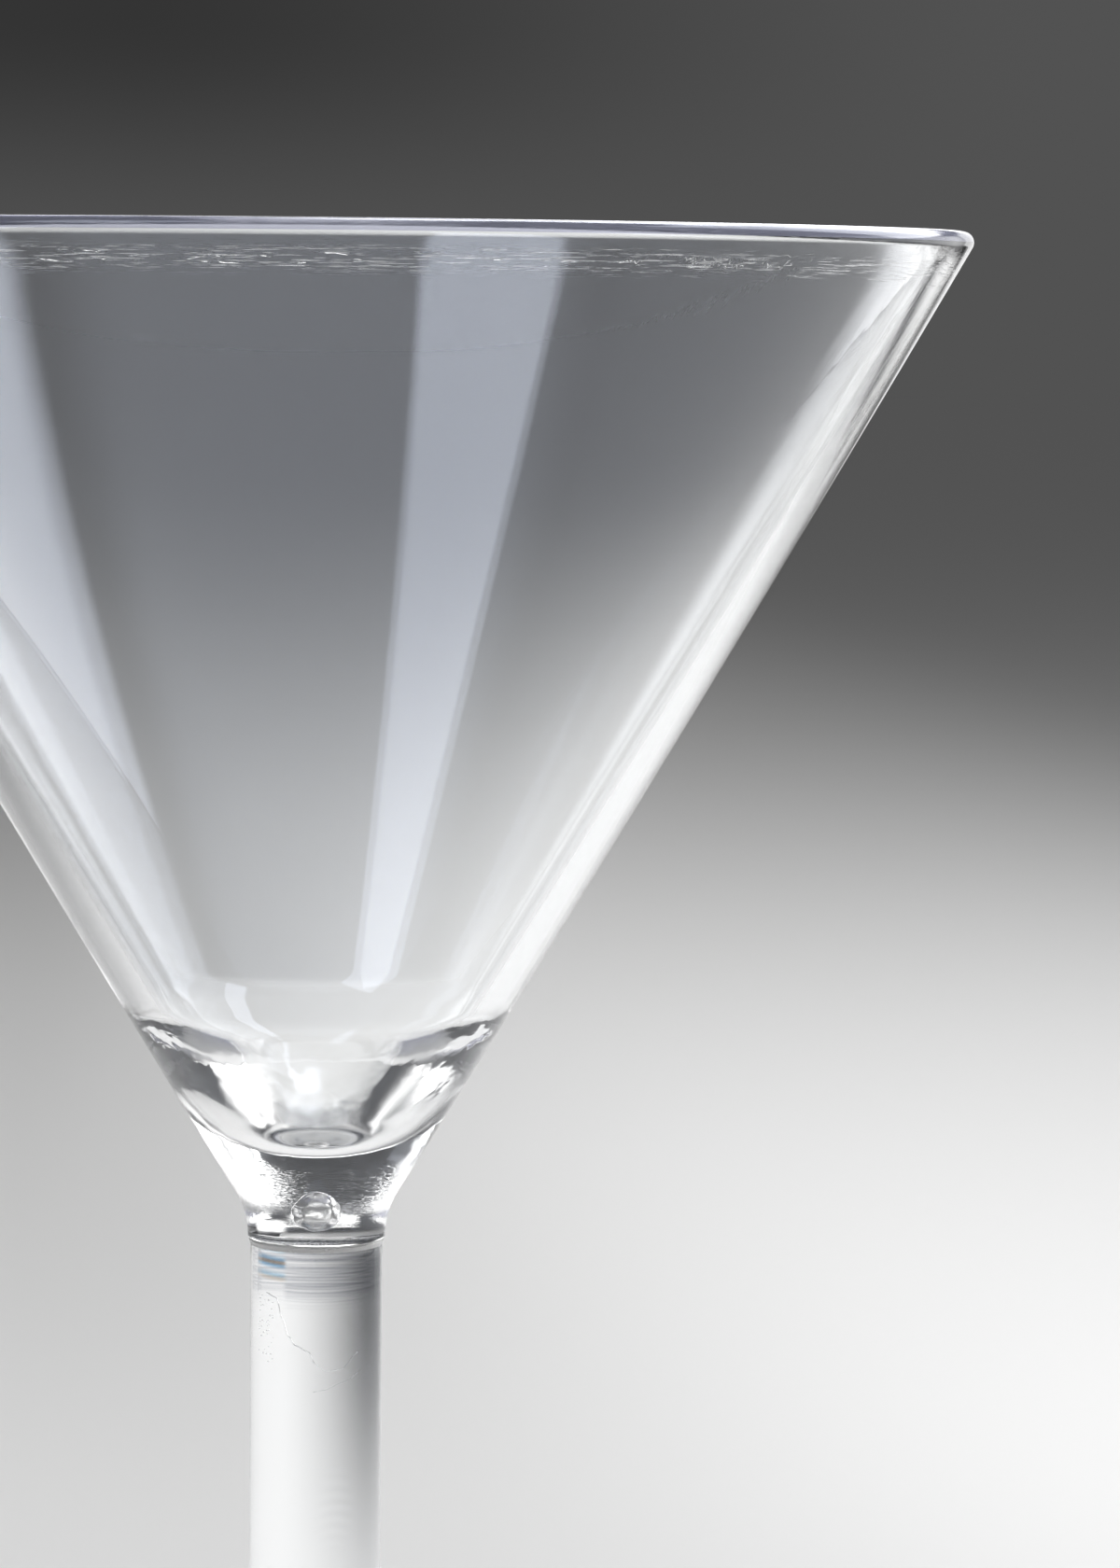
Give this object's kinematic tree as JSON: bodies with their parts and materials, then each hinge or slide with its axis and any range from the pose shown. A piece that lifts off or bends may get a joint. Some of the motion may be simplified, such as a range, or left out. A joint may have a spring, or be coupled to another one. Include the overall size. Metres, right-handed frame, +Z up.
{
  "type": "martini glass",
  "caption": "Clear plastic martini glass: a conical bowl with a rounded lip, cemented to a straight rod stem on a round disc foot.",
  "frame": {"origin": "centre of the foot's standing face, on the glass's axis", "axes": "+Z up along the glass's axis; the picture looks along +Y, with +X to its right"},
  "size_m": [0.1164, 0.1164, 0.175],
  "materials": {
    "clear_bowl_plastic": "clear moulded plastic, polished",
    "clear_stem_plastic": "clear plastic rod, polished",
    "clear_foot_plastic": "clear moulded plastic, polished",
    "bowl_joint_cement": "cured clear cement",
    "foot_joint_cement": "cured clear cement"
  },
  "bodies": {
    "root": {"bowl": "clear_bowl_plastic", "stem": "clear_stem_plastic", "foot": "clear_foot_plastic", "bowl_cement": "bowl_joint_cement", "foot_cement": "foot_joint_cement"}
  },
  "joints": []
}
